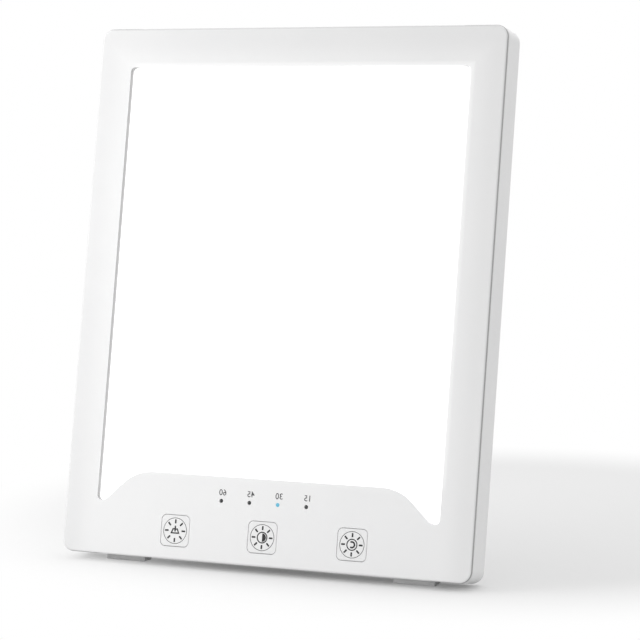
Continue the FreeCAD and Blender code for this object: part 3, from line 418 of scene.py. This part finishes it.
# a flat bar with softened corners, from low to high
def barLine(across, low, high, width):
    bpy.ops.mesh.primitive_plane_add(size=1, location=(across, ink["face"], (low + high) / 2),
                                     rotation=facing)
    line = bpy.context.object
    line.scale = (width, high - low, 1)
    bpy.ops.object.transform_apply(location=False, rotation=False, scale=True)
    edit(line)
    bpy.ops.mesh.select_all(action="SELECT")
    bpy.ops.mesh.bevel(affect="VERTICES", offset=width * ink["cornerShare"], segments=ink["cornerSteps"])
    bpy.ops.object.mode_set(mode="OBJECT")
    return line


rays = {"inner": 3.3 * mm, "outer": 5.2 * mm, "width": 0.78 * mm, "count": 8}


def sunRays(across, up):
    ray = barLine(across, up + rays["inner"], up + rays["outer"], rays["width"])
    edit(ray)
    bpy.ops.mesh.select_all(action="SELECT")
    more = rays["count"] - 1
    bpy.ops.mesh.spin(steps=more, dupli=True, angle=math.radians(360 * more / rays["count"]),
                      center=(across, ink["face"], up), axis=(0, 1, 0))
    bpy.ops.object.mode_set(mode="OBJECT")
    return ray


tray = {"mouth": 1.3 * mm, "top": 1.1 * mm, "floor": 2.35 * mm, "bottom": -1.35 * mm, "line": 0.62 * mm,
        "openAbove": 0.8 * mm, "barLow": -0.4 * mm, "barHigh": 2.3 * mm, "barWidth": 0.72 * mm}


# an open tray with a bar standing in it
def powerSign(across, up):
    bpy.ops.mesh.primitive_plane_add(size=1, location=(across, ink["face"], up), rotation=facing)
    sign = bpy.context.object
    edit(sign)
    mesh = bmesh.from_edit_mesh(sign.data)
    for vert in mesh.verts:
        side = 1 if vert.co.x > 0 else -1
        half, height = (tray["mouth"], tray["top"]) if vert.co.y > 0 else (tray["floor"], tray["bottom"])
        vert.co = Vector((side * half, height, 0))
    bmesh.update_edit_mesh(sign.data)
    bpy.ops.mesh.select_all(action="SELECT")
    bpy.ops.mesh.inset(thickness=tray["line"])
    bpy.ops.mesh.delete(type="FACE")
    pick(sign, "faces", lambda f: f.calc_center_median().y > tray["openAbove"])
    bpy.ops.mesh.delete(type="FACE")
    bpy.ops.object.mode_set(mode="OBJECT")
    return [sign, barLine(across, up + tray["barLow"], up + tray["barHigh"], tray["barWidth"])]


dimmer = {"ring": 2.38 * mm, "line": 0.52 * mm, "disc": 1.9 * mm, "corners": 48}


# a disc filled on its right half inside a ring
def dimmerSign(across, up):
    ring = arcLine(across, up, dimmer["ring"], dimmer["line"])
    bpy.ops.mesh.primitive_circle_add(vertices=dimmer["corners"], radius=dimmer["disc"], fill_type="NGON",
                                      location=(across, ink["face"], up), rotation=facing)
    half = bpy.context.object
    edit(half)
    bpy.ops.mesh.select_all(action="SELECT")
    bpy.ops.mesh.bisect(plane_co=(across, 0, up), plane_no=(1, 0, 0), clear_inner=True)
    bpy.ops.object.mode_set(mode="OBJECT")
    return [ring, half]


timer = {"ring": 2.42 * mm, "line": 0.5 * mm,
         "arc": 1.25 * mm, "arcLine": 0.78 * mm, "start": -125, "sweep": 250}


# an arc open on its left inside a ring
def timerSign(across, up):
    ring = arcLine(across, up, timer["ring"], timer["line"])
    arc = arcLine(across, up, timer["arc"], timer["arcLine"], timer["start"], timer["sweep"])
    return [ring, arc]


def makePrint(parts, name, body, finish):
    drawing = joined(*parts)
    applyModifier(drawing, "SOLIDIFY", thickness=ink["height"], offset=0)
    edit(drawing)
    bpy.ops.mesh.select_all(action="SELECT")
    bpy.ops.mesh.normals_make_consistent(inside=False)
    bpy.ops.object.mode_set(mode="OBJECT")
    settle(drawing, name, body, finish, panelPlace)


keys = {"power": (-1, powerSign), "brightness": (0, dimmerSign), "timer": (1, timerSign)}
keyRow = {"pitch": 44 * mm, "shift": 0.6 * mm, "height": 13.1 * mm, "ring": 5.85 * mm, "line": 0.27 * mm}
for key, (step, sign) in keys.items():
    across, up = step * keyRow["pitch"] + keyRow["shift"], keyRow["height"]
    ring = arcLine(across, up, keyRow["ring"], keyRow["line"])
    makePrint([ring], f"{key}_ring_print", f"{key}_key", "printGrey")
    makePrint([sunRays(across, up)] + sign(across, up), f"{key}_sign_print", f"{key}_key", "printInk")

# where the numbers and the light pipes under them stand in their row; the pitch is in millimetres
indicators = {"pitch": 14.1, "steps": {"60": -1.5, "45": -0.5, "30": 0.5, "15": 1.5}}
numbers = {"shift": 0.5 * mm, "height": 31.95 * mm, "size": 3.8 * mm, "bolder": 0.03 * mm}
for minutes, step in indicators["steps"].items():
    across = step * indicators["pitch"] * mm + numbers["shift"]
    bpy.ops.object.text_add(location=(across, ink["face"], numbers["height"]), rotation=facing)
    text = bpy.context.object
    text.data.body = minutes
    text.data.size = numbers["size"]
    text.data.offset = numbers["bolder"]
    text.data.align_x = "CENTER"
    text.data.align_y = "CENTER"
    selectOnly(text)
    bpy.ops.object.convert(target="MESH")
    number = bpy.context.object
    number.scale = (-1, 1, 1)   # the glyphs read mirrored, as in the photograph
    bpy.ops.object.transform_apply(location=False, rotation=False, scale=True)
    makePrint([number], f"number_{minutes}", "lamp", "printGrey")
print("prints made")


# pan head screws with a cross recess and a coarse thread
largeScrew = {"head": 2.6 * mm, "rise": 1.8 * mm, "shank": 1.25 * mm, "length": 10 * mm, "pitch": 1.0 * mm}
smallScrew = {"head": 1.9 * mm, "rise": 1.1 * mm, "shank": 1.0 * mm, "length": 5 * mm, "pitch": 0.8 * mm}
crown = [(0.35, 1.0), (0.72, 0.96), (0.90, 0.82), (0.98, 0.60), (1.0, 0.38), (1.0, 0.06), (0.97, 0.0)]
recess = {"wide": 0.24, "long": 0.58, "deep": 0.6, "taper": 0.55}   # shares of the head's radius and rise
# the thread's lengths, and its shares of the shank's radius and of the pitch
thread = {"root": 0.84, "flat": 0.45, "crest": 0.72, "start": 0.4 * mm, "plainEnd": 1.4 * mm,
          "tipLength": 0.5 * mm, "tipTop": 0.8, "tip": 0.25, "corners": 32, "smooth": 32}


def screwProfile(look):
    shank, length, pitch = look["shank"], look["length"], look["pitch"]
    profile = [(look["head"] * out, look["rise"] * up) for out, up in crown]
    profile.append((shank, 0))
    root = shank * thread["root"]
    for turn in range(int((length - thread["plainEnd"]) / pitch)):
        low = -thread["start"] - turn * pitch
        profile += [(root, low), (root, low - pitch * thread["flat"])]
        profile.append((shank, low - pitch * thread["crest"]))
    profile.append((shank * thread["tipTop"], -length + thread["tipLength"]))
    profile.append((shank * thread["tip"], -length))
    return profile


def crossScrew(look):
    screw = turned(screwProfile(look), thread["corners"])
    wide, deep = look["head"] * recess["wide"], look["rise"] * recess["deep"]
    bpy.ops.mesh.primitive_cube_add(size=1, location=(0, 0, look["rise"]))
    cutter = bpy.context.object
    cutter.scale = (wide, wide, deep * 2)
    bpy.ops.object.transform_apply(location=True, rotation=True, scale=True)
    edit(cutter)
    pick(cutter, "faces", lambda f: abs(f.normal.z) < 0.5)
    bpy.ops.mesh.inset(thickness=0, depth=look["head"] * recess["long"] - wide / 2, use_individual=True)
    pick(cutter, "verts", lambda v: v.co.z < look["rise"])
    bpy.ops.transform.resize(value=(recess["taper"], recess["taper"], 1),
                             center_override=(0, 0, look["rise"] - deep))
    bpy.ops.object.mode_set(mode="OBJECT")
    applyModifier(screw, "BOOLEAN", object=cutter, operation="DIFFERENCE", solver="EXACT")
    selectOnly(cutter)
    bpy.ops.object.delete()
    selectOnly(screw)
    bpy.ops.object.shade_smooth_by_angle(angle=math.radians(thread["smooth"]))
    return screw


def fitScrews(name, node, body, look, places):
    settle(repeated(crossScrew(look), places), name, body, "steel", panelPlace, [node])


# places in the upright panel, in millimetres; the seat is the depth of the head's underside
housing = {"sides": (-93.3, 93.3), "heights": (10.2, 123, 237.8), "seat": 16}
fitScrews("housing_cross_screws", "housing_screws", "lamp", largeScrew,
          [turnedTo(x, housing["seat"], z, True) for x in housing["sides"] for z in housing["heights"]])
ledBoard = {"sides": (-60, 60), "heights": (63.5, 133.5, 203.5), "seat": 11.5}
fitScrews("led_board_cross_screws", "led_board_screws", "lamp", smallScrew,
          [turnedTo(x, ledBoard["seat"], z, False) for x in ledBoard["sides"] for z in ledBoard["heights"]])
controlBoard = {"places": ((-22, 9), (22, 9), (-38, 28), (38, 28)), "seat": 12.8, "length": 7 * mm}
fitScrews("control_board_cross_screws", "control_board_screws", "lamp",
          dict(smallScrew, length=controlBoard["length"]),
          [turnedTo(x, controlBoard["seat"], z, True) for x, z in controlBoard["places"]])
hub = {"height": 101.5, "circle": 7, "angles": (90, 210, 330), "seat": 14.6, "length": 4 * mm}
fitScrews("retainer_cross_screws", "retainer_screws", "swivel", dict(smallScrew, length=hub["length"]),
          [turnedTo(hub["circle"] * math.cos(math.radians(angle)), hub["seat"],
                    hub["height"] + hub["circle"] * math.sin(math.radians(angle)), False)
           for angle in hub["angles"]])
print("screws made")


# light pipes: a domed end at the face, a collar behind the bezel, a plain rod down to its light
pipe = {"litRod": 0.9 * mm, "darkRod": 0.78 * mm, "collar": 1.7 * mm, "collarFront": -2.2 * mm,
        "collarBack": -3.2 * mm, "endFrom": -10.25 * mm, "end": -10.4 * mm, "endShare": 0.85,
        "height": 28.2, "dome": 0.32 * mm, "corners": 40, "smooth": 35}
dome = [(0.18, 0), (0.45, -0.07), (0.70, -0.22), (0.86, -0.48), (0.96, -0.80), (1.0, -1.25)]


def pipeProfile(rod):
    profile = [(rod * out, pipe["dome"] * down) for out, down in dome]
    profile += [(rod, pipe["collarFront"]), (pipe["collar"], pipe["collarFront"])]
    profile += [(pipe["collar"], pipe["collarBack"]), (rod, pipe["collarBack"])]
    profile += [(rod, pipe["endFrom"]), (rod * pipe["endShare"], pipe["end"])]
    return profile


for minutes, step in indicators["steps"].items():
    lit = minutes == "30"
    rod = turned(pipeProfile(pipe["litRod"] if lit else pipe["darkRod"]), pipe["corners"])
    bpy.ops.object.shade_smooth_by_angle(angle=math.radians(pipe["smooth"]))
    rod = repeated(rod, [turnedTo(step * indicators["pitch"], 0, pipe["height"], False)])
    settle(rod, f"domed_pipe_{minutes}", "lamp", "litBlue" if lit else "smokedPipe", panelPlace,
           [f"light_pipe_{minutes}"])
print("light pipes made")


foot = {"round": 0.5 * mm, "steps": 4, "weld": 1e-6,
        "flat": 2, "edge": 30, "smooth": 40}   # angles in degrees


# rubber feet: the CAD node's own block with its edges rounded
def roundedFoot(node, name, body, finish):
    selectOnly(nodes[node])
    bpy.ops.object.duplicate(linked=False)
    block = bpy.context.object
    block.parent = None
    for mark in list(block.keys()):   # the copy is no longer the CAD node
        del block[mark]
    edit(block)
    bpy.ops.mesh.select_all(action="SELECT")
    bpy.ops.mesh.remove_doubles(threshold=foot["weld"])
    bpy.ops.mesh.dissolve_limited(angle_limit=math.radians(foot["flat"]))
    bpy.ops.object.mode_set(mode="OBJECT")
    applyModifier(block, "BEVEL", width=foot["round"], segments=foot["steps"], limit_method="ANGLE",
                  angle_limit=math.radians(foot["edge"]))
    selectOnly(block)
    bpy.ops.object.shade_smooth_by_angle(angle=math.radians(foot["smooth"]))
    settle(block, name, body, finish, stayPut, [node])


roundedFoot("bottom_foot_left", "soft_foot_left", "lamp", "paleRubber")
roundedFoot("bottom_foot_right", "soft_foot_right", "lamp", "paleRubber")
roundedFoot("leg_foot", "soft_leg_foot", "leg", "rubber")
print("feet made")


# 1 for the rays that show how a surface looks, 0 for the rays that carry its light elsewhere
def seenBy(nodeTree, kinds):
    path = nodeTree.nodes.new("ShaderNodeLightPath")
    seen = path.outputs[kinds[0]]
    for kind in kinds[1:]:
        seen = maths(nodeTree, "MAXIMUM", seen, path.outputs[kind])
    return seen


def mixed(nodeTree, factor, first, second):
    node = nodeTree.nodes.new("ShaderNodeMixShader")
    for socket, value in zip(node.inputs, (factor, first, second)):
        nodeTree.links.new(value, socket)
    return node.outputs[0]


def glowOf(nodeTree, strength):
    node = nodeTree.nodes.new("ShaderNodeEmission")
    node.inputs["Strength"].default_value = strength
    return node.outputs[0]


paper = {"size": 30, "seen": (0.70, 0.70, 0.70), "lift": 0.12, "middle": (0.03, 0.15, 0),
         "clear": (0.17, 0.27), "white": 1, "bounced": (0.60, 0.60, 0.60), "roughness": 0.8,
         "specular": 0.1}


# the floor shows its shadows near the lamp and runs out to plain white round it
def floorFinish():
    finish, nodeTree, shader = newFinish("paperFloor")
    shader.inputs["Base Color"].default_value = (*paper["bounced"], 1)
    shader.inputs["Roughness"].default_value = paper["roughness"]
    shader.inputs["Specular IOR Level"].default_value = paper["specular"]
    seenPaper = nodeTree.nodes.new("ShaderNodeBsdfDiffuse")
    seenPaper.inputs["Color"].default_value = (*paper["seen"], 1)
    lifted = nodeTree.nodes.new("ShaderNodeAddShader")
    nodeTree.links.new(seenPaper.outputs[0], lifted.inputs[0])
    nodeTree.links.new(glowOf(nodeTree, paper["lift"]), lifted.inputs[1])
    place = nodeTree.nodes.new("ShaderNodeTexCoord")
    reach = nodeTree.nodes.new("ShaderNodeVectorMath")
    reach.operation = "DISTANCE"
    reach.inputs[1].default_value = paper["middle"]
    nodeTree.links.new(place.outputs["Object"], reach.inputs[0])
    clear = fade(nodeTree, reach.outputs["Value"], paper["clear"], 0, 1)
    shown = mixed(nodeTree, clear, lifted.outputs[0], glowOf(nodeTree, paper["white"]))
    seen = seenBy(nodeTree, ("Is Camera Ray", "Is Glossy Ray"))
    surface = mixed(nodeTree, seen, shader.outputs[0], shown)
    nodeTree.links.new(surface, nodeTree.nodes["Material Output"].inputs["Surface"])
    return finish


bpy.ops.mesh.primitive_plane_add(size=paper["size"], location=(0, 0, 0))
floor = bpy.context.object
floor.name = "floor"
floor.data.materials.append(floorFinish())

studio = {"room": 0.75, "backdrop": 1, "colour": (1, 1, 1)}


# an even pale room lights the lamp, in front of a plain white backdrop
def makeRoom():
    world = bpy.data.worlds.new("studio")
    scene.world = world
    world.use_nodes = True
    nodeTree = world.node_tree
    room = nodeTree.nodes["Background"]
    backdrop = nodeTree.nodes.new("ShaderNodeBackground")
    for background, strength in ((room, studio["room"]), (backdrop, studio["backdrop"])):
        background.inputs["Color"].default_value = (*studio["colour"], 1)
        background.inputs["Strength"].default_value = strength
    seen = seenBy(nodeTree, ("Is Camera Ray", "Is Glossy Ray", "Is Transmission Ray"))
    surface = mixed(nodeTree, seen, room.outputs[0], backdrop.outputs[0])
    nodeTree.links.new(surface, nodeTree.nodes["World Output"].inputs["Surface"])


makeRoom()

softboxes = {
    "nearLight": {"power": 0.80, "size": 0.25, "place": (-0.42, -0.36, 0.30), "aim": (0, 0, 0.12)},
    "sideLight": {"power": 0.95, "size": 0.40, "place": (-0.75, -0.20, 0.50), "aim": (0, 0, 0.12)},
    "topLight": {"power": 2.30, "size": 0.60, "place": (0.05, 0.38, 1.10), "aim": (0, 0, 0)},
    "rightLight": {"power": 0.90, "size": 0.50, "place": (1.00, 0.40, 0.55), "aim": (0, 0, 0.12)},
}
for name, box in softboxes.items():
    bpy.ops.object.light_add(type="AREA", location=box["place"])
    light = bpy.context.object
    light.name = name
    light.data.shape = "SQUARE"
    light.data.size = box["size"]
    light.data.energy = box["power"]
    light.rotation_euler = (Vector(box["aim"]) - Vector(box["place"])).to_track_quat("-Z", "Y").to_euler()

view = {"lens": 140.625, "sensor": 36, "place": (0.47895, -1.03433, 0.21469), "tilt": 84.868, "turn": 24.162,
        "nearest": 0.01, "farthest": 100}
bpy.ops.object.camera_add(location=view["place"],
                          rotation=(math.radians(view["tilt"]), 0, math.radians(view["turn"])))
camera = bpy.context.object
camera.data.lens = view["lens"]
camera.data.sensor_width = view["sensor"]
camera.data.clip_start = view["nearest"]
camera.data.clip_end = view["farthest"]
scene.camera = camera
scene.view_settings.view_transform = "Standard"
print("stage set")
